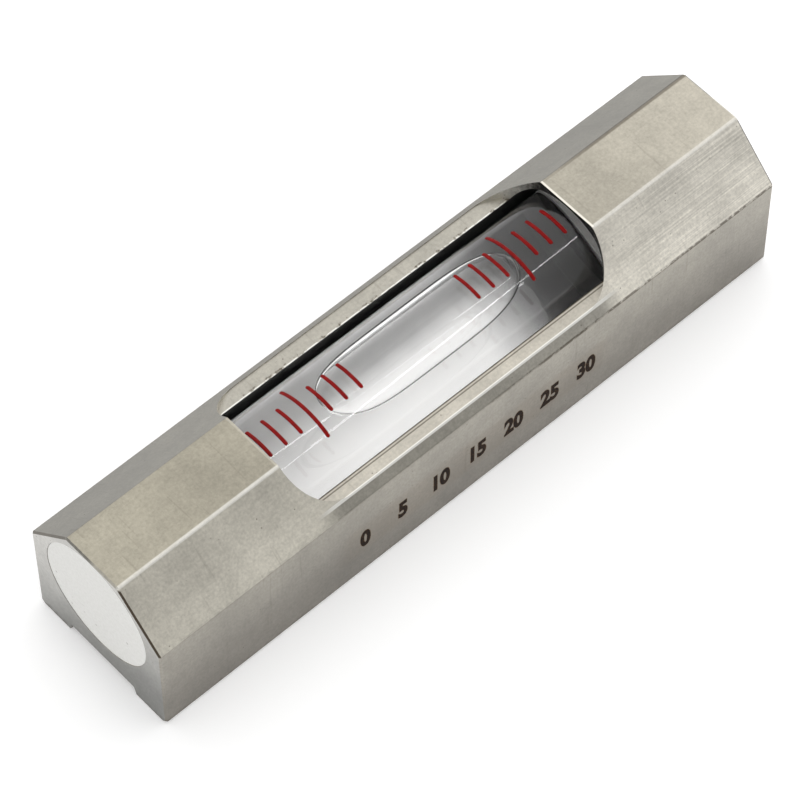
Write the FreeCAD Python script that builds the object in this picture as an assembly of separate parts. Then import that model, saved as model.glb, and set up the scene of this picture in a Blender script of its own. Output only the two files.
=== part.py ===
"""Bar-type precision level: an eight-sided steel bar with a ground glass vial bedded in it.

Units are millimetres. X runs along the bar, -Y is the marked front face and +Z is up.
The origin is the centre of the footprint, on the plane of the two base rails.
"""
import FreeCAD, Part
import math
import os

from FreeCAD import Vector

# ---- the vial ----
vial_d = 13.0  # outside of the glass
vial_wall = 1.2  # glass at mid-length, where the ground bore is widest
vial_room = 55.0  # free length inside, between the two end plugs
division = 2.0  # spacing of the graduations
rise_per_division = 0.0015  # slope that moves the bubble by one division, in m per m
vial_shift = -0.4  # the vial sits this far along X from the middle of the bar

# ---- the glass plugs that shut the vial ----
plug_length = 3.0
plug_step = 0.6  # how much deeper the plug's seat is cut than the ground bore
seal_gap = 0.02  # cement film round each plug

# ---- the graduations, fused enamel on the outside of the glass ----
line_width = 0.28
line_height = 0.06
line_film = 0.02  # between the glass and the underside of a line
short_line_span = 32.0  # degrees round the glass
long_line_span = 66.0
long_line_at = 7  # divisions from the middle of the scale to the long line
lines_beside_long = 3  # short lines on each side of the long one

# ---- the spirit and its bubble ----
bubble_length = 25.8
bubble_width = 6.8
bubble_depth = 2.5  # from the top of the bubble to its underside
bubble_end_radius = 3.0  # of the oval's ends, seen from above
bubble_offset = 0.8  # where the bubble stands at rest, from the middle of the bar
bubble_film = 0.3  # room over the bubble, for the fall of the ground bore towards its ends
spirit_film = 0.02  # between the spirit and the glass
level_gap = 0.08  # between the bubble's underside and the spirit's surface

# ---- the white backing under the vial ----
backing_thickness = 0.25
backing_span = 190.0  # degrees round the underside of the glass
backing_gap = 0.04
backing_end_gap = 0.3  # to the plaster at each end

# ---- the plaster that holds the vial ----
plaster_grip = 5.0  # length of the glass that the plaster surrounds
plaster_gap = 0.03  # left round the plaster as it shrinks in setting
plaster_sink = 0.05  # the plaster lies this far inside the end face

# ---- the bar ----
bar_length = 84.0
vial_clearance = 1.0  # between the glass and the bore
crown_wall = 0.3  # steel left above the bore, at the top flat
shoulder_wall = 0.74  # steel left between the bore and each 45 degree face
side_wall = 2.25
floor_wall = 3.9  # from the bore down to the base rails
long_edge_radius = 0.3
base_edge_break = 0.5
end_edge_break = 0.2

# ---- the relief groove along the base ----
groove_mouth = 10.4
groove_depth = 1.3
groove_draft = 16.0  # degrees that each side of the groove leans

# ---- the window ----
window_length = 42.5
window_corner_radius = 5.0
ledge_rise = 2.8  # of the window's two ledges above the bore's axis
window_lip = 0.1  # height of the step left along the outer edge of each ledge

# ---- worked out from the above ----
vial_r = vial_d / 2
room_half = vial_room / 2
vial_half = room_half + plug_length
bore_r = vial_r + vial_clearance
axis_z = floor_wall + bore_r
bar_width = 2 * (bore_r + side_wall)
bar_height = axis_z + bore_r + crown_wall
half_diagonal = math.sqrt(2) * (bore_r + shoulder_wall)  # |y| + rise above the axis, on a 45 degree face
top_half_width = half_diagonal - bore_r - crown_wall
shoulder_z = axis_z + half_diagonal - bar_width / 2
ledge_z = axis_z + ledge_rise
window_half_width = half_diagonal - ledge_rise - window_lip
barrel_radius = division / rise_per_division  # of the ground bore, along the vial
barrel_r = vial_r - vial_wall
plug_seat_r = barrel_r + plug_step
bubble_r = barrel_r - bubble_film
bubble_top = bubble_r
bubble_bottom = bubble_top - bubble_depth
plaster_start = vial_half - plaster_grip


def along_x(shape, x=0.0):
    """Stands a shape made about the origin's X axis on the bore's axis, shifted along X."""
    shape.translate(Vector(x, 0, axis_z))
    return shape


def barrel_drop(x):
    """How much the ground bore's radius has shrunk at a distance x from mid-length."""
    return barrel_radius - math.sqrt(barrel_radius ** 2 - x ** 2)


def wedge(span, reach, half_length):
    """A fan-shaped prism about the X axis, centred on straight up, that spans an angle in degrees."""
    half = math.radians(span) / 2
    start = Vector(-half_length, reach * math.sin(half), reach * math.cos(half))
    top = Vector(-half_length, 0, reach)
    stop = Vector(-half_length, -reach * math.sin(half), reach * math.cos(half))
    hub = Vector(-half_length, 0, 0)
    edges = [
        Part.LineSegment(hub, start).toShape(),
        Part.Arc(start, top, stop).toShape(),
        Part.LineSegment(stop, hub).toShape(),
    ]
    return Part.Face(Part.Wire(edges)).extrude(Vector(2 * half_length, 0, 0))


def tube(outer_r, inner_r, start, length):
    """A plain tube about the X axis."""
    outer = Part.makeCylinder(outer_r, length, Vector(start, 0, 0), Vector(1, 0, 0))
    inner = Part.makeCylinder(inner_r, length, Vector(start, 0, 0), Vector(1, 0, 0))
    return outer.cut(inner)


def barrel(radius, half_length):
    """The space inside the ground bore, or one that is smaller by the same amount all round."""
    end_r = radius - barrel_drop(half_length)
    ends = [Vector(-half_length, 0, end_r), Vector(half_length, 0, end_r)]
    feet = [Vector(-half_length, 0, 0), Vector(half_length, 0, 0)]
    edges = [
        Part.LineSegment(feet[0], ends[0]).toShape(),
        Part.Arc(ends[0], Vector(0, 0, radius), ends[1]).toShape(),
        Part.LineSegment(ends[1], feet[1]).toShape(),
        Part.LineSegment(feet[1], feet[0]).toShape(),
    ]
    return Part.Face(Part.Wire(edges)).revolve(Vector(0, 0, 0), Vector(1, 0, 0), 360)


# ---- the bar ----
def bar_section():
    """The bar's outline across its length: flat base with a groove, upright sides, half an octagon on top."""
    half = bar_width / 2
    mouth = groove_mouth / 2
    ceiling = mouth - groove_depth * math.tan(math.radians(groove_draft))
    right_side = [
        (0, groove_depth),
        (ceiling, groove_depth),
        (mouth, 0),
        (half - base_edge_break, 0),
        (half, base_edge_break),
        (half, shoulder_z),
        (top_half_width, bar_height),
    ]
    left_side = [(-y, z) for y, z in reversed(right_side[1:])]
    points = [Vector(-bar_length / 2, y, z) for y, z in right_side + left_side]
    return Part.Face(Part.makePolygon(points + points[:1]))


def long_edges(shape):
    """The four long edges of the half octagon, two at the shoulders and two beside the top flat."""
    found = []
    for edge in shape.Edges:
        middle = edge.CenterOfMass
        runs_along = edge.Length > bar_length - 1 and abs(middle.x) < 1
        if runs_along and middle.z > shoulder_z - long_edge_radius:
            found.append(edge)
    return found


def end_edges(shape):
    """The edges round both end faces, without the groove's."""
    found = []
    for edge in shape.Edges:
        middle = edge.CenterOfMass
        box = edge.BoundBox
        at_end = abs(abs(middle.x) - bar_length / 2) < 1e-3 and box.XLength < 1e-3
        in_groove = box.ZMax < groove_depth + 1e-3 and abs(middle.y) < groove_mouth / 2
        if at_end and not in_groove:
            found.append(edge)
    return found


def window_pocket():
    """What the cutter takes away: a slot with round corners, sunk from the top to the two ledges."""
    depth = bar_height - ledge_z + 1
    block = Part.makeBox(
        window_length,
        2 * window_half_width,
        depth,
        Vector(-window_length / 2, -window_half_width, ledge_z),
    )
    corners = [e for e in block.Edges if e.BoundBox.ZLength > depth - 1e-3]
    return block.makeFillet(window_corner_radius, corners)


def bar():
    blank = bar_section().extrude(Vector(bar_length, 0, 0))
    blank = blank.makeFillet(long_edge_radius, long_edges(blank))
    blank = blank.makeChamfer(end_edge_break, end_edges(blank))
    bore = along_x(Part.makeCylinder(bore_r, bar_length + 2, Vector(-bar_length / 2 - 1, 0, 0), Vector(1, 0, 0)))
    return blank.cut(bore).cut(window_pocket())


# ---- the vial ----
def vial_tube():
    glass = Part.makeCylinder(vial_r, 2 * vial_half, Vector(-vial_half, 0, 0), Vector(1, 0, 0))
    glass = glass.cut(barrel(barrel_r, room_half))
    for start in (-vial_half, room_half):
        glass = glass.cut(Part.makeCylinder(plug_seat_r, plug_length, Vector(start, 0, 0), Vector(1, 0, 0)))
    return along_x(glass, vial_shift)


def vial_end_plug(side):
    """A ground glass disc, with a shallow dimple outside where it was held for cementing."""
    disc_r = plug_seat_r - seal_gap
    start = room_half if side > 0 else -vial_half
    disc = Part.makeCylinder(disc_r, plug_length, Vector(start, 0, 0), Vector(1, 0, 0))
    rims = [e for e in disc.Edges if abs(e.CenterOfMass.x) > vial_half - 1e-3 and len(e.Vertexes) == 1]
    return along_x(disc.makeChamfer(plug_step / 2, rims), vial_shift)


def graduation(number, span):
    """One enamel line across the top of the glass, a number of divisions from the middle."""
    inner = vial_r + line_film
    ring = tube(inner + line_height, inner, -line_width / 2, line_width)
    line = ring.common(wedge(span, vial_d, line_width))
    return along_x(line, vial_shift + number * division)


def graduations(span, offsets):
    lines = [graduation(side * (long_line_at + step), span) for side in (-1, 1) for step in offsets]
    return Part.makeCompound(lines)


def white_backing():
    """A strip of white film wrapped round the underside of the glass, between the two beds of plaster."""
    half_length = plaster_start - backing_end_gap
    inner = vial_r + backing_gap
    shell = tube(inner + backing_thickness, inner, -half_length, 2 * half_length)
    strip = shell.cut(wedge(360 - backing_span, vial_d, half_length))
    return along_x(strip, vial_shift)


# ---- the spirit and its bubble ----
def bubble_oval():
    """Half of the bubble's outline seen from above: a long shallow arc between two small end arcs."""
    half_length = bubble_length / 2
    half_width = bubble_width / 2
    end_r = bubble_end_radius
    end_centre = half_length - end_r
    side_r = (end_centre ** 2 + half_width ** 2 - end_r ** 2) / (2 * (half_width - end_r))
    lean = math.atan2(end_centre, side_r - half_width)  # of the radius where the two arcs meet
    joint = Vector(end_centre + end_r * math.sin(lean), 0, end_r * math.cos(lean))
    half_turn = lean + (math.pi / 2 - lean) / 2
    on_end = Vector(end_centre + end_r * math.sin(half_turn), 0, end_r * math.cos(half_turn))
    tip = Vector(half_length, 0, 0)
    mirrored = [Vector(-p.x, 0, p.z) for p in (tip, on_end, joint)]
    return [
        Part.Arc(mirrored[0], mirrored[1], mirrored[2]).toShape(),
        Part.Arc(mirrored[2], Vector(0, 0, half_width), joint).toShape(),
        Part.Arc(joint, on_end, tip).toShape(),
        Part.LineSegment(tip, mirrored[0]).toShape(),
    ]


def air_bubble():
    """A flattened oval pressed against the roof of the ground bore."""
    oval = Part.Face(Part.Wire(bubble_oval())).revolve(Vector(0, 0, 0), Vector(1, 0, 0), 360)
    flatten = FreeCAD.Matrix()
    flatten.scale(1, 1, bubble_depth / bubble_width)
    blob = oval.transformGeometry(flatten)
    blob.translate(Vector(bubble_offset - vial_shift, 0, bubble_bottom + bubble_depth / 2))
    return along_x(blob.common(barrel(bubble_r, room_half - spirit_film)), vial_shift)


def spirit():
    """The spirit up to the level of the bubble's underside."""
    fill = barrel(barrel_r - spirit_film, room_half - spirit_film)
    level = bubble_bottom - level_gap
    headroom = Part.makeBox(vial_room, vial_d, vial_r, Vector(-room_half, -vial_r, level))
    return along_x(fill.cut(headroom), vial_shift)


# ---- the plaster ----
def plaster_plug(side):
    """White plaster from the end face inwards, moulded round the end of the vial."""
    outer_end = bar_length / 2 - plaster_sink
    inner_end = plaster_start + side * vial_shift
    glass_end = vial_half + side * vial_shift + plaster_gap
    cast = Part.makeCylinder(bore_r - plaster_gap, outer_end - inner_end, Vector(inner_end, 0, 0), Vector(1, 0, 0))
    socket = Part.makeCylinder(vial_r + plaster_gap, glass_end - inner_end, Vector(inner_end, 0, 0), Vector(1, 0, 0))
    plug = cast.cut(socket)
    if side < 0:
        plug = plug.mirror(Vector(0, 0, 0), Vector(1, 0, 0))
    return along_x(plug)


def save(name, shape):
    shape.exportStep("parts/" + name + ".step")
    solids = shape.Solids
    print(name, len(solids), "solid(s)", round(sum(s.Volume for s in solids), 2), "mm3", "valid", shape.isValid())


def main():
    os.makedirs("parts", exist_ok=True)
    save("body", bar())
    save("vial_tube", vial_tube())
    save("vial_end_plug_left", vial_end_plug(-1))
    save("vial_end_plug_right", vial_end_plug(1))
    save("spirit", spirit())
    save("air_bubble", air_bubble())
    beside = [step for step in range(-lines_beside_long, lines_beside_long + 1) if step != 0]
    save("short_graduations", graduations(short_line_span, beside))
    save("long_graduations", graduations(long_line_span, [0]))
    save("white_backing", white_backing())
    save("plaster_plug_left", plaster_plug(-1))
    save("plaster_plug_right", plaster_plug(1))


main()
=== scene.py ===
import math

import bmesh
import bpy
from mathutils import Euler, Matrix, Quaternion, Vector


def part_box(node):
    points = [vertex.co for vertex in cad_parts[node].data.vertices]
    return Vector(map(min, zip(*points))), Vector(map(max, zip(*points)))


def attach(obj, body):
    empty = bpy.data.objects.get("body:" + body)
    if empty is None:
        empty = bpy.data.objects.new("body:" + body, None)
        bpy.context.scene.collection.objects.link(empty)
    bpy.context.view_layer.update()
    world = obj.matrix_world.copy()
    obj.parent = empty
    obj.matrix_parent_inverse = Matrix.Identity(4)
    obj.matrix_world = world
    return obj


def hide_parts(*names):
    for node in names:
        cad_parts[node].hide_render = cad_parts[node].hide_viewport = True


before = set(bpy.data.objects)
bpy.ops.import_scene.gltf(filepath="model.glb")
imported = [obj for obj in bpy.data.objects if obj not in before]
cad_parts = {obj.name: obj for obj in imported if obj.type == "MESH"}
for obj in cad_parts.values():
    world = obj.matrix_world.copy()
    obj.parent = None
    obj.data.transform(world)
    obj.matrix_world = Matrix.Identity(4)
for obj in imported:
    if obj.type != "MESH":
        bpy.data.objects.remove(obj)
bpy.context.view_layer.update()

mm = 0.001
weldGap = 1e-7
tiny = 1e-6

# X runs along the vial and Z is up, with the vial's centre line at y = 0
vialRadius = 6.5 * mm
glassLow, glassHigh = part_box("vial_tube")
boreHeight = glassHigh[2] - vialRadius  # the faceted glass reaches its full radius only at the top
glassCentre = Vector(((glassLow[0] + glassHigh[0]) / 2, 0, boreHeight))


# shader helpers

class Wire:
    # a node's output that can be used in sums
    def __init__(self, finish, socket):
        self.finish = finish
        self.socket = socket

    def of(self, name):
        return Wire(self.finish, self.socket.node.outputs[name])

    def __add__(self, other):
        return self.finish.maths("ADD", self, other)

    def __radd__(self, other):
        return self.finish.maths("ADD", other, self)

    def __sub__(self, other):
        return self.finish.maths("SUBTRACT", self, other)

    def __rsub__(self, other):
        return self.finish.maths("SUBTRACT", other, self)

    def __mul__(self, other):
        return self.finish.maths("MULTIPLY", self, other)

    def __rmul__(self, other):
        return self.finish.maths("MULTIPLY", other, self)

    def __pow__(self, other):
        return self.finish.maths("POWER", self, other)

    def __abs__(self):
        return self.finish.maths("ABSOLUTE", self)


class Finish:
    # the nodes of one new material, or of a world that is handed in
    def __init__(self, name, world=None):
        self.owner = world or bpy.data.materials.new(name)
        self.owner.use_nodes = True
        self.tree = self.owner.node_tree
        self.tree.nodes.clear()
        kind = "ShaderNodeOutputWorld" if world else "ShaderNodeOutputMaterial"
        self.output = self.tree.nodes.new(kind)

    def node(self, kind, settings=None, values=None):
        new = self.tree.nodes.new(kind)
        for name, value in (settings or {}).items():
            setattr(new, name, value)
        for name, value in (values or {}).items():
            self.plug(new.inputs[name], value)
        firstShown = next(socket for socket in new.outputs if socket.enabled)
        return Wire(self, firstShown)

    def plug(self, socket, value):
        if isinstance(value, Wire):
            self.tree.links.new(value.socket, socket)
        else:
            socket.default_value = value

    def maths(self, operation, *values):
        return self.node("ShaderNodeMath", {"operation": operation}, dict(enumerate(values)))

    def place(self, scale=(1, 1, 1), turn=(0, 0, 0), shift=(0, 0, 0)):
        # object coordinates in millimetres, then scaled and turned
        where = self.node("ShaderNodeTexCoord").of("Object")
        inMm = self.node("ShaderNodeVectorMath", {"operation": "SCALE"}, {"Vector": where, "Scale": 1 / mm})
        return self.node("ShaderNodeMapping", None, {
            "Vector": inMm, "Location": shift, "Rotation": Euler(turn), "Scale": scale})

    def noise(self, scale, detail=3, stretch=(1, 1, 1), rough=0.5, turn=(0, 0, 0), shift=(0, 0, 0)):
        return self.node("ShaderNodeTexNoise", None, {
            "Vector": self.place(stretch, turn, shift), "Scale": scale, "Detail": detail, "Roughness": rough})

    def step(self, value, low, high, fromValue=0.0, toValue=1.0):
        return self.node("ShaderNodeMapRange", {"interpolation_type": "SMOOTHSTEP"}, {
            "Value": value, "From Min": low, "From Max": high, "To Min": fromValue, "To Max": toValue})

    def band(self, value, low, high, soft):
        # 1 between low and high, fading to 0 over soft on each side
        return self.step(value, low - soft, low) - self.step(value, high, high + soft)

    def axes(self, vector):
        parts = self.node("ShaderNodeSeparateXYZ", None, {"Vector": vector})
        return parts.of("X"), parts.of("Y"), parts.of("Z")

    def shade(self, colour, value):
        # a colour made darker or lighter by a value about 1
        return self.mix(1, colour, value, "MULTIPLY")

    def mix(self, mask, first, second, blend="MIX"):
        # sockets 0, 6 and 7 are the factor and the two colours
        return self.node("ShaderNodeMix", {"data_type": "RGBA", "blend_type": blend}, {
            0: mask, 6: first, 7: second})

    def bump(self, height, distance, strength=1.0):
        return self.node("ShaderNodeBump", None, {
            "Height": height, "Distance": distance, "Strength": strength})

    def surface(self, shader):
        self.tree.links.new(shader.socket, self.output.inputs["Surface"])
        return self.owner

    def principled(self, values):
        return self.surface(self.node("ShaderNodeBsdfPrincipled", None, values))


def grey(value):
    return (value, value, value, 1)


# mesh helpers

def newObject(name, data):
    made = bpy.data.objects.new(name, data)
    bpy.context.scene.collection.objects.link(made)
    return made


def dress(node, material):
    # gives a CAD node's own mesh a finish
    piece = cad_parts[node]
    piece.data.materials.clear()
    piece.data.materials.append(material)


def toObject(bm, name, materials=(), sharpAngle=35):
    bmesh.ops.recalc_face_normals(bm, faces=bm.faces)
    mesh = bpy.data.meshes.new(name)
    bm.to_mesh(mesh)
    bm.free()
    for face in mesh.polygons:
        face.use_smooth = True
    mesh.set_sharp_from_angle(angle=math.radians(sharpAngle))
    for material in materials:
        mesh.materials.append(material)
    return newObject(name, mesh)


def joinFrame(piece, body, slot, *nodes):
    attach(piece, body)
    if nodes:
        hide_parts(*nodes)


def turned(outline, steps, closed=True):
    # spins an outline of (x, radius) points, in metres, about the vial's centre line
    bm = bmesh.new()
    corners = [bm.verts.new((x, 0, radius)) for x, radius in outline]
    pairs = list(zip(corners, corners[1:]))
    if closed:
        pairs.append((corners[-1], corners[0]))
    edges = [bm.edges.new(pair) for pair in pairs]
    bmesh.ops.spin(bm, geom=corners + edges, cent=(0, 0, 0), axis=(1, 0, 0), dvec=(0, 0, 0),
                   angle=math.tau, steps=steps, use_merge=True, use_duplicate=False)
    bmesh.ops.remove_doubles(bm, verts=bm.verts, dist=weldGap)
    return bm


# steel bar

steel = {
    # lit and shaded copies of one ground steel, one per face, from topNear to ledgeBack: painted light and
    # shade
    "topNear": (0.385, 0.358, 0.29, 1),
    "topFar": (0.46, 0.43, 0.365, 1),
    "frontSlopeNear": (0.53, 0.505, 0.44, 1),
    "frontSlopeFar": (0.68, 0.65, 0.58, 1),
    "backSlope": (0.255, 0.245, 0.218, 1),
    "sideLow": (0.235, 0.22, 0.195, 1),
    "sideHigh": (0.355, 0.335, 0.295, 1),
    "endLow": (0.235, 0.234, 0.222, 1),
    "endHigh": (0.54, 0.53, 0.505, 1),
    "ledge": (0.49, 0.46, 0.40, 1),
    "ledgeBack": (0.42, 0.40, 0.35, 1),
    "bore": (0.010, 0.010, 0.010, 1),
    # stain darkens pits, scratches and milling lines, and is also painted as shade on the ledges and along
    # the base
    "stainAndShade": (0.06, 0.045, 0.03, 1),
    # painted highlights on the front edges and the front lip, and painted glints on the back burr
    "highlight": (0.86, 0.85, 0.81, 1),
    # painted highlight on the top's edge at the window's ends
    "sillHighlight": (0.96, 0.92, 0.83, 1),
    # painted light and shade on the window's end walls: lit to the front, shaded in the middle
    "wallLit": (0.64, 0.62, 0.57, 1),
    "wallInShade": (0.03, 0.028, 0.026, 1),
    "haze": (0.20, 0.15, 0.10, 1),
    "roughness": 0.34,
    "relief": 0.000012,
}

# the bar's section and window, in mm
section = {
    "slopeReach": 8.24,
    "boreRadius": 7.5,
    "ledgeRise": 2.8,
    "windowHalf": 21.25,
}

# where the faces and the long edges run, as (y, z) in mm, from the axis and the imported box
barLow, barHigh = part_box("body")
axisZ = boreHeight / mm
sideY = barHigh[1] / mm
topZ = barHigh[2] / mm
endX = barHigh[0] / mm
topHalf = section["slopeReach"] * math.sqrt(2) - (topZ - axisZ)
topEdge = (topHalf, topZ)
sideEdge = (sideY, topZ - (sideY - topHalf))
ledgeZ = axisZ + section["ledgeRise"]
windowX = section["windowHalf"]


def nearEdge(f, y, z, edge, side, reach):
    # 1 on a long edge, 0 beyond its reach
    away = ((y - side * edge[0]) ** 2 + (z - edge[1]) ** 2) ** 0.5
    return 1 - f.step(away, reach * 0.5, reach)


def barSteel():
    f = Finish("ground_steel")
    x, y, z = f.axes(f.place())
    facing = f.axes(f.node("ShaderNodeNewGeometry").of("Normal"))
    nx, nz = facing[0], facing[2]
    front = 1 - f.step(y, -0.5, 0.5)
    far = f.step(x, -endX, endX)

    # which face a point lies on
    radius = (y * y + (z - axisZ) ** 2) ** 0.5
    boreEdge = section["boreRadius"]
    inBore = (1 - f.step(radius, boreEdge - 0.01, boreEdge + 0.06)) \
        * (1 - f.step(abs(x), endX - 0.2, endX - 0.05))
    facesUp = f.step(nz, 0.85, 0.95)
    onTop = facesUp * f.step(z, ledgeZ + 0.5, ledgeZ + 1)
    onLedge = facesUp - onTop
    onSlope = f.band(nz, 0.45, 0.85, 0.08)
    onEnd = f.step(abs(nx), 0.8, 0.95)
    inWindow = (1 - onSlope) * (1 - facesUp) * (1 - f.step(abs(x), windowX, windowX + 0.3)) \
        * f.step(z, ledgeZ - 0.1, ledgeZ) * (1 - f.step(abs(y), sideY - 1, sideY - 0.8))

    # fine speckle, clouding, milling lines and pits
    speckle = f.noise(3.2, 3, rough=0.65)
    cloud = f.noise(0.16, 3)
    patch = f.noise(0.5, 3, shift=(7, 3, 1))
    milling = f.noise(1.0, 4, (0.05, 5, 5), 0.65)
    crossGrain = f.noise(1.0, 3, (5, 0.25, 0.25), 0.6)
    pitPlace = f.node("ShaderNodeTexVoronoi", None, {"Vector": f.place(), "Scale": 1.1}).of("Distance")
    pits = (1 - f.step(pitPlace, 0.05, 0.11)) * f.step(patch, 0.5, 0.62)

    # ground steel colour, face by face, with painted light and shade: each face gets a lit or shaded copy of
    # the steel, the back slope and back ledge darker, the ends and sides darker towards the base (on the
    # sides painted shade and grime), the top and front slope lighter towards the far end
    colour = f.mix(f.step(z, 2, 13.4), steel["sideLow"], steel["sideHigh"])
    # painted light: the sides lighter towards the far end
    colour = f.shade(colour, 1 + 0.12 * far)
    slopeFront = f.mix(f.step(x, -8, 34), steel["frontSlopeNear"], steel["frontSlopeFar"])
    # painted highlight low on the front slope, painted shade near its top
    slopeFront = f.shade(slopeFront, 1 + 0.12 * f.band(z, 13.6, 15, 1) - 0.08 * f.step(z, 16, 18.5))
    # the front slope is darker below the ledge, beside the window
    besideWindow = (1 - f.step(abs(x), 17, 21)) * (1 - f.step(z, ledgeZ + 0.1, ledgeZ + 0.3))
    slopeFront = f.shade(slopeFront, 1 - 0.5 * besideWindow)
    colour = f.mix(onSlope, colour, f.mix(front, steel["backSlope"], slopeFront))
    topColour = f.mix(f.step(x, -10, 44), steel["topNear"], steel["topFar"])
    # painted shade: the top darker along its middle
    topColour = f.shade(topColour, 1 - 0.14 * f.band(x, -28, 24, 10))
    colour = f.mix(onTop, colour, topColour)
    colour = f.mix(onLedge, colour, f.mix(front, steel["ledgeBack"], steel["ledge"]))
    colour = f.mix(onEnd, colour, f.mix(f.step(z + 0.4 * y, -1, 15), steel["endLow"], steel["endHigh"]))

    # the wall at the window's ends is painted dark in the middle as shade and lighter to the front as light,
    # with a ragged noise edge
    wallRagged = f.noise(2.2, 4, (0.6, 1, 1), 0.7)
    wallShade = f.band(y + 4 * wallRagged, -1.5, 5.5, 4)
    wallColour = f.mix(wallShade, steel["wallLit"], steel["wallInShade"])
    colour = f.mix(inWindow, colour, wallColour)

    # texture
    ripple = f.noise(1.0, 3, (0.06, 6, 6), 0.6, (0, 0, 0), (0, 0.7, 0))
    rippled = onSlope * front * (0.12 + 0.88 * f.step(x, 14, 32))
    lines = (0.93 + 0.14 * milling) * (0.94 + 0.12 * crossGrain) * (1 + 0.8 * rippled * (ripple - 0.5))
    colour = f.shade(colour, (0.68 + 0.64 * speckle) * (0.76 + 0.48 * cloud) * (0.88 + 0.24 * patch))
    colour = f.shade(colour, lines)
    colour = f.mix(pits * (1 - onTop) * 0.65, colour, steel["stainAndShade"])
    scratch = f.step(f.noise(1.0, 1, (2.2, 0.12, 0.12), 0.4, (0, 0, 0.5), (3, 0, 0)), 0.70, 0.76)
    colour = f.mix(scratch * 0.12 * (1 - onEnd), colour, steel["stainAndShade"])
    deepLine = f.step(milling, 0.66, 0.74) * onSlope
    colour = f.mix(deepLine * 0.25, colour, steel["stainAndShade"])

    # edges: a painted highlight along the top front edge, and darker lines along the other edges, the end
    # bevels and the base
    ragged = f.noise(1.6, 4, (0.7, 1, 1), 0.7, (0, 0, 0), (2, 5, 0))
    topFrontEdge = nearEdge(f, y, z, topEdge, -1, 0.3)
    topBackEdge = nearEdge(f, y, z, topEdge, 1, 0.4)
    sideFrontEdge = nearEdge(f, y, z, sideEdge, -1, 0.24)
    sideBackEdge = nearEdge(f, y, z, sideEdge, 1, 0.3)
    outside = 1 - inBore
    # painted highlight along the top front edge, ragged and weaker at the far end
    edgeHighlight = topFrontEdge * outside * (0.25 + 0.5 * ragged - 0.12 * f.step(x, 15, 30))
    colour = f.mix(edgeHighlight, colour, steel["highlight"])
    # darker lines along the top back edge at the far end and along both side edges
    colour = f.mix(topBackEdge * f.step(x, 18, 30) * 0.6, colour, steel["stainAndShade"])
    sideEdgeDarkening = (0.25 + 0.6 * f.step(ragged, 0.45, 0.55)) * (0.2 + 0.65 * f.step(x, -4, 14))
    colour = f.mix(sideFrontEdge * sideEdgeDarkening, colour, steel["stainAndShade"])
    colour = f.mix(sideBackEdge * f.step(ragged, 0.5, 0.56) * 0.6, colour, steel["stainAndShade"])
    # the slopes' end bevels are darker, more so in front
    endBreak = f.band(abs(nx), 0.3, 0.8, 0.08) * f.step(abs(x), endX - 0.5, endX - 0.25)
    bevelDarkening = endBreak * f.band(z, 13.3, topZ - 0.4, 0.2) * (0.45 + 0.5 * front)
    colour = f.mix(bevelDarkening, colour, steel["stainAndShade"])
    # painted shade and grime: ragged darkening along the base
    baseShadeAndGrime = (1 - f.step(z, 0.2, 1.3)) * f.step(ragged, 0.42, 0.6)
    colour = f.mix(baseShadeAndGrime * 0.5, colour, steel["stainAndShade"])

    # the ledges' inner edges: a torn burr at the back, painted with bright glints and dark tears, and in
    # front a dark double line of painted shade where the ledge meets the glass
    inner = f.band(abs(y), 6.85, 7.12, 0.05)
    burr = onLedge * inner * (1 - front) * f.step(ragged, 0.42, 0.52)
    colour = f.mix(burr * 0.85, colour, steel["highlight"])
    backTear = onLedge * (1 - front) * f.band(abs(y), 6.85, 7.3, 0.1) * (1 - f.step(ragged, 0.36, 0.46))
    colour = f.mix(backTear * 0.8, colour, steel["stainAndShade"])
    # painted shade: a dark double line on the front ledge beside the glass
    frontShadeLines = onLedge * front * (f.band(abs(y), 6.8, 7.08, 0.04) + 0.8 * f.band(abs(y), 7.3, 7.4, 0.05))
    colour = f.mix(frontShadeLines * 0.85, colour, steel["stainAndShade"])
    # painted shade in the crease at the back ledge's outer edge
    outerCreaseShade = f.step(abs(y), sideY - 1.2, sideY - 1.08) * (1 - onSlope) \
        * f.band(z, ledgeZ - 0.05, ledgeZ + 0.16, 0.03)
    colour = f.mix(outerCreaseShade * (1 - front) * 0.22, colour, steel["stainAndShade"])
    # painted highlight along the front ledge's outer lip
    lip = f.band(abs(y), sideY - 1.14, sideY - 0.88, 0.06) * f.band(z, ledgeZ - 0.05, ledgeZ + 0.2, 0.05)
    colour = f.mix(lip * front * 0.75 * (1 - f.step(abs(x), 18, 21)), colour, steel["highlight"])
    # painted highlight on the top's edge at the window's ends, strongest at the far end
    sillHighlight = onTop * f.band(abs(x), windowX, windowX + 0.22, 0.05) \
        * (1 - f.step(abs(y), topHalf, topHalf + 0.1))
    colour = f.mix(sillHighlight * (0.05 + 0.75 * far), colour, steel["sillHighlight"])

    # faint burnt haze round the marked numbers
    haze = f.band(z, 4.6, 8.2, 1.4) * f.band(x, -16.5, 16.5, 3) * (1 - f.step(y, -sideY + 0.02, -sideY + 0.1))
    colour = f.mix(haze * (0.05 + 0.25 * patch), colour, steel["haze"])

    colour = f.mix(inBore, colour, steel["bore"])
    rough = steel["roughness"] + 0.14 * speckle + 0.1 * cloud + 0.3 * inBore
    height = 0.5 * speckle + 0.6 * milling * (1 - onTop) - 1.5 * pits - deepLine + 0.8 * burr
    return f.principled({
        "Base Color": colour, "Metallic": 1 - 0.9 * inBore, "Roughness": rough,
        "Normal": f.bump(height, steel["relief"], 0.6)})


def dressBar():
    dress("body", barSteel())
    print("bar dressed")


# numbers marked on the front face

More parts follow.
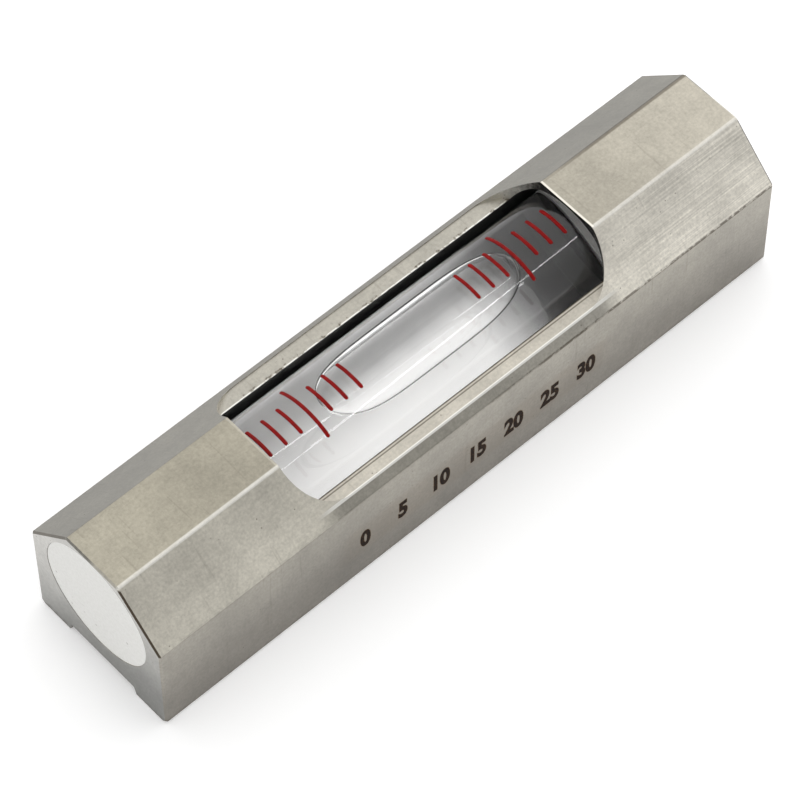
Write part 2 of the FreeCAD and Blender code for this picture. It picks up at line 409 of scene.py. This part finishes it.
numbers = {
    "step": 5,
    "last": 30,
    "spacing": 5.1 * mm,
    "baseLine": 5.0 * mm,
    "size": 3.6 * mm,
    "narrow": 0.72,
    "boldness": 0.17 * mm,
    "fringe": 0.07 * mm,
    "proud": 0.004 * mm,
    "ink": (0.010, 0.005, 0.003, 1),
    "inkWorn": (0.06, 0.030, 0.014, 1),
    "fringeDark": (0.13, 0.075, 0.035, 1),
    "fringeLight": (0.26, 0.20, 0.14, 1),
}


def numberMesh(text, boldness):
    letters = bpy.data.curves.new("number", "FONT")
    letters.body = text
    letters.size = numbers["size"]
    letters.offset = boldness
    letters.align_x = "CENTER"
    letters.resolution_u = 6
    holder = newObject("number", letters)
    bpy.context.view_layer.update()
    mesh = bpy.data.meshes.new_from_object(holder.evaluated_get(bpy.context.evaluated_depsgraph_get()))
    bpy.data.objects.remove(holder)
    return mesh


def makeNumbers():
    values = range(0, numbers["last"] + 1, numbers["step"])
    bm = bmesh.new()
    # each number is a dark layer over a wider, fainter one: boldness, lift and material
    layers = ((numbers["boldness"], 1, 0), (numbers["boldness"] + numbers["fringe"], 0.5, 1))
    for index, value in enumerate(values):
        x = (index - (len(values) - 1) / 2) * numbers["spacing"]
        for boldness, lift, material in layers:
            mesh = numberMesh(str(value), boldness)
            oldVerts = set(bm.verts)
            oldFaces = set(bm.faces)
            bm.from_mesh(mesh)
            new = [vert for vert in bm.verts if vert not in oldVerts]
            for face in bm.faces:
                if face not in oldFaces:
                    face.material_index = material
            bmesh.ops.scale(bm, verts=new, vec=(numbers["narrow"], 1, 1))
            bmesh.ops.rotate(bm, verts=new, cent=(0, 0, 0), matrix=Matrix.Rotation(math.pi / 2, 3, "X"))
            at = Vector((x, barLow[1] - lift * numbers["proud"], numbers["baseLine"]))
            bmesh.ops.translate(bm, verts=new, vec=at)
    g = Finish("burnt_fringe")
    fade = g.noise(6.0, 3)
    fringe = g.principled({
        "Base Color": g.mix(g.step(fade, 0.35, 0.65), numbers["fringeDark"], numbers["fringeLight"]),
        "Roughness": 0.5 + 0.2 * fade, "Specular IOR Level": 0.3})
    f = Finish("burnt_marking")
    scorch = f.noise(5.0, 3)
    colour = f.mix(f.step(scorch, 0.45, 0.75), numbers["ink"], numbers["inkWorn"])
    ink = f.principled({
        "Base Color": colour, "Roughness": 0.6 + 0.2 * scorch, "Specular IOR Level": 0.1})
    mesh = bpy.data.meshes.new("front_numbers")
    bm.to_mesh(mesh)
    bm.free()
    mesh.materials.append(ink)
    mesh.materials.append(fringe)
    joinFrame(newObject("front_numbers", mesh), "level", "steel")
    print("numbers marked")


# ground glass vial

vial = {
    "outside": vialRadius,
    "halfLength": (glassHigh[0] - glassLow[0]) / 2,
    "roomHalf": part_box("vial_end_plug_right")[0][0] - glassCentre.x,
    "bore": 5.3 * mm,
    "plugSeat": 5.9 * mm,
    "lip": 0.25 * mm,
    "division": 2 * mm,
    "risePerDivision": 0.0015,
    "facets": 192,
    "spiritFacets": 96,
    "outlineSteps": 24,
    "spiritInset": 0.02 * mm,
    "glassIndex": 1.51,
    "spiritIndex": 1.36,
}


def clearMaterial(name, index):
    # index is of the far side against the near side, since the liquids and the glass nest
    return Finish(name).principled({
        "Base Color": grey(1), "Roughness": 0.0, "IOR": index, "Transmission Weight": 1.0})


def boreRadius(x):
    # the bore is ground to a long arc, so that each division shows the same slope
    arc = vial["division"] / vial["risePerDivision"]
    return vial["bore"] - (arc - math.sqrt(arc ** 2 - x * x))


def barrelOutline(inset):
    half = vial["roomHalf"] - inset
    count = vial["outlineSteps"]
    places = [half * (2 * i / count - 1) for i in range(count + 1)]
    return [(x, boreRadius(x) - inset) for x in places]


def makeVial():
    half, outer, seat = vial["halfLength"], vial["outside"], vial["plugSeat"]
    lip, room = vial["lip"], vial["roomHalf"]
    outside = [(-half, outer - lip), (-half + lip, outer), (half - lip, outer), (half, outer - lip)]
    rightSeat = [(half, seat), (room, seat)]
    leftSeat = [(-room, seat), (-half, seat)]
    bm = turned(outside + rightSeat + barrelOutline(0)[::-1] + leftSeat, vial["facets"])
    bmesh.ops.translate(bm, verts=bm.verts, vec=glassCentre)
    outerFace = clearMaterial("vial_glass_outside", vial["glassIndex"])
    boreFace = clearMaterial("vial_glass_bore", vial["glassIndex"] / vial["spiritIndex"])
    piece = toObject(bm, "vial_glass", (outerFace, boreFace))
    for face in piece.data.polygons:
        offset = face.center - glassCentre
        if math.hypot(offset.y, offset.z) < vial["bore"] + 0.05 * mm and abs(offset.x) < room - 0.01 * mm:
            face.material_index = 1
    joinFrame(piece, "level", "glass", "vial_tube")
    print("vial blown and ground")


def makeSpirit():
    line = barrelOutline(vial["spiritInset"])
    outline = [(line[0][0], 0)] + line + [(line[-1][0], 0)]
    bm = turned(outline, vial["spiritFacets"], closed=False)
    bmesh.ops.translate(bm, verts=bm.verts, vec=glassCentre)
    # the glass's bore faces already bend light into the spirit
    piece = toObject(bm, "spirit_fill", (clearMaterial("clear_spirit", 1.0),))
    joinFrame(piece, "level", "spirit", "spirit")
    print("spirit poured")


# bubble

bubble = {
    "length": 26.3 * mm,
    "width": 6.65 * mm,
    "film": 0.31 * mm,
    "sag": 0.55 * mm,
    "nose": 0.9 * mm,
    "rimPower": 2.4,
    "shoulder": 0.3 * mm,
    "drop": 0.27 * mm,
    "endPower": 4.6,
    "facets": 128,
}


def makeBubble():
    # flat below, where it rests on the spirit, round above, under the glass, with a rounded rim
    low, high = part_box("air_bubble")
    middle = Vector(((low[0] + high[0]) / 2, 0, boreHeight))
    roof = vial["bore"] - bubble["film"]
    half = bubble["length"] / 2
    halfWidth = bubble["width"] / 2
    floorHeight = math.sqrt(roof ** 2 - halfWidth ** 2) - bubble["sag"]
    facets = bubble["facets"]
    bm = bmesh.new()
    bmesh.ops.create_uvsphere(bm, u_segments=facets, v_segments=facets, radius=1)
    bmesh.ops.rotate(bm, verts=bm.verts, cent=(0, 0, 0), matrix=Matrix.Rotation(math.pi / 2, 3, "Y"))
    for vert in bm.verts:
        along = max(-1.0, min(1.0, vert.co.x))
        ring = math.hypot(vert.co.y, vert.co.z)
        across = vert.co.y / ring if ring > tiny else 0.0
        up = vert.co.z / ring if ring > tiny else 0.0
        stretch = math.sin(along * math.pi / 2)  # closer rings at the tips
        x = half * stretch
        side = halfWidth * max(0.0, 1 - abs(stretch) ** bubble["endPower"]) ** 0.5
        bend = 1 if up >= 0 else 2 / bubble["rimPower"]
        y = side * math.copysign(abs(across) ** bend, across)
        if up >= 0:
            edge = math.sqrt(min(1.0, (y / halfWidth) ** 2 + abs(stretch) ** bubble["endPower"]))
            intoShoulder = max(0.0, 1 - (1 - edge) * halfWidth / bubble["shoulder"])
            z = math.sqrt(roof ** 2 - y ** 2) - bubble["drop"] * (1 - math.sqrt(1 - intoShoulder ** 2))
        else:
            rim = math.sqrt(roof ** 2 - side ** 2) - bubble["drop"]
            intoNose = max(0.0, (abs(x) - (half - bubble["nose"])) / bubble["nose"])
            deep = (rim - floorHeight) * math.sqrt(max(0.0, 1 - intoNose ** 2))
            z = rim - deep * abs(up) ** bend
        vert.co = Vector((x, y, z))
    bmesh.ops.remove_doubles(bm, verts=bm.verts, dist=weldGap)
    bmesh.ops.translate(bm, verts=bm.verts, vec=middle)
    f = Finish("air_in_spirit")
    skin = f.surface(f.node("ShaderNodeBsdfGlass", None, {
        "Color": grey(1), "Roughness": 0.0, "IOR": 1 / vial["spiritIndex"]}))
    piece = toObject(bm, "bubble_skin", (skin,), 60)
    joinFrame(piece, "bubble", "air", "air_bubble")
    print("bubble set")


# graduations

scale = {
    "longAt": 7,
    "beside": 3,
    "width": 0.43 * mm,
    "height": 0.05 * mm,
    "film": 0.02 * mm,
    "shortSpan": 35.5,
    "longSpan": 69,
    "lean": 1.4,
}


def addLine(bm, x, span):
    # one fused line: a thin pill bent round the glass, with its middle on top
    halfArc = math.radians(span) / 2 * vial["outside"]
    halfWidth = scale["width"] / 2
    new = bmesh.ops.create_uvsphere(bm, u_segments=12, v_segments=40, radius=1)["verts"]
    for vert in new:
        along = max(-1.0, min(1.0, vert.co.z))
        ring = math.hypot(vert.co.x, vert.co.y)
        over = max(0.0, abs(along) * halfArc - (halfArc - halfWidth))
        half = math.sqrt(max(0.0, halfWidth ** 2 - over ** 2))
        share = half / ring if ring > tiny else 0.0
        across = vert.co.x * share
        rise = max(0.0, vert.co.y * share) * scale["height"] / halfWidth
        angle = along * halfArc / vial["outside"] + math.radians(scale["lean"])
        radius = vial["outside"] + scale["film"] + rise
        vert.co = Vector((x + across, radius * math.sin(angle), radius * math.cos(angle)))


def makeGraduations():
    red = enamel()
    shortBm = bmesh.new()
    longBm = bmesh.new()
    for side in (-1, 1):
        addLine(longBm, side * scale["longAt"] * vial["division"], scale["longSpan"])
        for away in range(1, scale["beside"] + 1):
            for place in (scale["longAt"] - away, scale["longAt"] + away):
                addLine(shortBm, side * place * vial["division"], scale["shortSpan"])
    sets = ((shortBm, "short_lines", "short_graduations"), (longBm, "long_lines", "long_graduations"))
    for bm, name, node in sets:
        low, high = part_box(node)
        bmesh.ops.translate(bm, verts=bm.verts, vec=((low[0] + high[0]) / 2, 0, boreHeight))
        piece = toObject(bm, name, (red,), 60)
        joinFrame(piece, "level", "red_enamel", node)
    print("scale fused on")


# enamel, film and plaster

coats = {
    "red": (0.18, 0.001, 0.001, 1),
    "redWorn": (0.27, 0.003, 0.002, 1),
    "white": (0.95, 0.945, 0.93, 1),
    "whitest": (0.98, 0.975, 0.965, 1),
    # painted shade for the film's back and right end
    "shadeAtBack": (0.18, 0.178, 0.175, 1),
    "shadeAtEnd": (0.045, 0.044, 0.043, 1),
    "backFrom": 1.5,
    "backTo": 6.8,
    "backMost": 0.75,
    "endFrom": 9,
    "endTo": 20,
    "endMost": 0.97,
    "plaster": (0.90, 0.895, 0.86, 1),
    "plasterLight": (0.96, 0.955, 0.925, 1),
    "speck": (0.35, 0.33, 0.30, 1),
}


def enamel():
    f = Finish("red_enamel")
    blot = f.noise(2.5, 3)
    colour = f.mix(f.step(blot, 0.3, 0.7), coats["red"], coats["redWorn"])
    return f.principled({
        "Base Color": colour, "Roughness": 0.5 + 0.1 * blot, "Specular IOR Level": 0.12,
        "Normal": f.bump(blot, 0.00001, 0.3)})


def whiteFilm():
    f = Finish("white_film")
    place = f.axes(f.place())
    x, y = place[0], place[1]
    cloud = f.noise(0.3, 2)
    colour = f.mix(f.step(cloud, 0.3, 0.7), coats["white"], coats["whitest"])
    # painted shade: the coat is darkened towards its back edge and its right end
    backShade = f.step(y + 1.5 * cloud, coats["backFrom"], coats["backTo"], 0, coats["backMost"])
    endShade = f.step(x + 2 * cloud + 0.25 * y, coats["endFrom"], coats["endTo"], 0, coats["endMost"])
    colour = f.mix(backShade, colour, coats["shadeAtBack"])
    colour = f.mix(endShade, colour, coats["shadeAtEnd"])
    return f.principled({"Base Color": colour, "Roughness": 0.6})


def plaster():
    f = Finish("set_plaster")
    fine = f.noise(3.0, 4, rough=0.6)
    cells = f.node("ShaderNodeTexVoronoi", None, {"Vector": f.place(), "Scale": 0.55})
    specks = 1 - f.step(cells, 0.05, 0.12)
    colour = f.mix(f.step(fine, 0.3, 0.7), coats["plaster"], coats["plasterLight"])
    colour = f.mix(specks * 0.5, colour, coats["speck"])
    return f.principled({
        "Base Color": colour, "Roughness": 0.85, "Normal": f.bump(fine - specks, 0.00003, 0.6)})


def dressSmallPieces():
    dress("white_backing", whiteFilm())
    bed = plaster()
    dress("plaster_plug_left", bed)
    dress("plaster_plug_right", bed)
    plugGlass = clearMaterial("plug_glass", vial["glassIndex"])
    dress("vial_end_plug_left", plugGlass)
    dress("vial_end_plug_right", plugGlass)
    print("small pieces dressed")


# room, lamps and camera

view = {
    "aim": Vector((0.484, 2.475, 1.414)) * mm,
    "azimuth": -41.993,
    "elevation": 56.825,
    "roll": -0.371,
    "distance": 433.55 * mm,
    "lens": 187.58,
    "sensor": 36,
}

room = {
    "floorSize": 3,
    "floorLevel": 0.85,
    "skyStrength": 0.9,
    "wallLevel": 0.78,
    "softLightLevel": 1.52,
    "softLightFrom": Vector((0.54, 0.34, 0.77)),
    "softLightEdge": 0.3,
    "softLightHeart": 0.95,
    "paperLift": 0.3,
    "stripPower": 0.11,
    "stripPlace": Vector((0.227, -0.275, 0.497)),
    "stripAlong": Vector((0.589, 0.760, 0.275)),
    "stripLength": 0.36,
    "stripWidth": 0.007,
}


def makeRoom():
    bm = bmesh.new()
    bmesh.ops.create_grid(bm, x_segments=1, y_segments=1, size=room["floorSize"])
    f = Finish("floor_paper")
    ray = f.node("ShaderNodeLightPath")
    seen = ray.of("Is Camera Ray") + ray.of("Is Glossy Ray") + ray.of("Is Transmission Ray")
    paper = f.principled({
        "Base Color": grey(room["floorLevel"]), "Roughness": 0.9, "Emission Strength": 1.0,
        "Emission Color": f.maths("MINIMUM", seen, 1) * room["paperLift"]})
    floor = toObject(bm, "floor", (paper,))
    # a wide soft light from the back right, fading into plain pale walls
    world = bpy.data.worlds.new("studio")
    bpy.context.scene.world = world
    w = Finish("studio", world)
    towards = w.node("ShaderNodeVectorMath", {"operation": "DOT_PRODUCT"}, {
        0: w.node("ShaderNodeTexCoord").of("Generated"), 1: room["softLightFrom"].normalized()})
    glow = w.step(towards, room["softLightEdge"], room["softLightHeart"],
                  room["wallLevel"], room["softLightLevel"])
    w.surface(w.node("ShaderNodeBackground", None, {"Color": glow, "Strength": room["skyStrength"]}))
    print("room lit")


def stripLamp():
    # a long thin tube lamp, facing the vial, for the fine line of light on the glass
    data = bpy.data.lights.new("strip", "AREA")
    data.shape = "RECTANGLE"
    data.size = room["stripLength"]
    data.size_y = room["stripWidth"]
    data.energy = room["stripPower"]
    place, along = room["stripPlace"], room["stripAlong"]
    away = (place - glassCentre).normalized()
    flat = (along - along.dot(away) * away).normalized()
    turn = Matrix((flat, away.cross(flat), away)).transposed()
    newObject("strip", data).matrix_world = Matrix.Translation(place) @ turn.to_4x4()


def makeCamera():
    data = bpy.data.cameras.new("camera")
    data.lens = view["lens"]
    data.sensor_width = view["sensor"]
    data.clip_start = 0.01
    data.clip_end = 20
    camera = newObject("camera", data)
    a, e = math.radians(view["azimuth"]), math.radians(view["elevation"])
    back = Vector((math.sin(a) * math.cos(e), -math.cos(a) * math.cos(e), math.sin(e)))
    camera.location = view["aim"] + back * view["distance"]
    camera.rotation_mode = "QUATERNION"
    roll = Quaternion((0, 0, 1), math.radians(view["roll"]))
    camera.rotation_quaternion = (-back).to_track_quat("-Z", "Y") @ roll
    bpy.context.scene.camera = camera
    print("camera placed")


dressBar()
makeNumbers()
makeVial()
makeSpirit()
makeBubble()
makeGraduations()
dressSmallPieces()
makeRoom()
makeCamera()
stripLamp()
bpy.context.scene.view_settings.view_transform = "Standard"
glassBounces = 32
bpy.context.scene.cycles.max_bounces = glassBounces
bpy.context.scene.cycles.transmission_bounces = glassBounces
bpy.context.scene.cycles.blur_glossy = 0  # keeps light through the glass sharp
